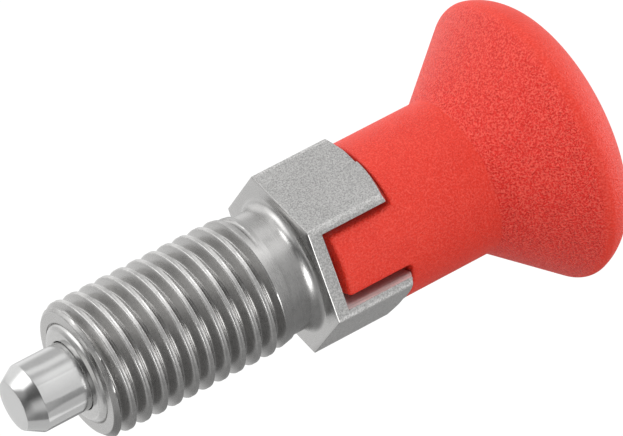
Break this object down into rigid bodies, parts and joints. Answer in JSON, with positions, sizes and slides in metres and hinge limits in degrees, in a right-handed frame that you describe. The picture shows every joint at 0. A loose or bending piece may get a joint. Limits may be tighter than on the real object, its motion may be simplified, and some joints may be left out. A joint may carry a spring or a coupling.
{
  "type": "indexing plunger",
  "caption": "Screw-in spring plunger with a chamfered locking pin, slotted hexagon with a rest position and a red mushroom grip to pull.",
  "frame": {"origin": "centre of the hexagon's front (seat) face, on the thread's axis", "axes": "+Z along the axis towards the grip, the pin pointing to -Z; +X is the outward normal of one slotted flat of the hexagon, +Y completes the right-handed set along the shallow rest notch"},
  "size_m": [0.0252, 0.0252, 0.0543],
  "materials": {
    "sleeve": "bright turned stainless steel, satin drawn flats on the hexagon",
    "bush": "fine turned stainless steel",
    "pin": "ground and polished stainless steel",
    "spring": "drawn stainless spring wire",
    "grip": "fine-grained moulded red thermoplastic"
  },
  "bodies": {
    "sleeve": {"threaded_sleeve": "sleeve", "guide_bush": "bush"},
    "spring": {"compression_spring": "spring"},
    "plunger": {"locking_pin": "pin", "mushroom_grip": "grip"}
  },
  "joints": [
    {"name": "turn", "type": "hinge", "parent": "sleeve", "child": "spring", "pos_m": [0, 0, 0], "axis": [0, 0, 1], "range_deg": [-5, 5]},
    {"name": "pull", "type": "slide", "parent": "spring", "child": "plunger", "axis": [0, 0, 1], "range_m": [0, 0.0063], "stiffness_N_per_m": 1480, "springref_m": -0.00405, "deforming": ["compression_spring"]}
  ]
}
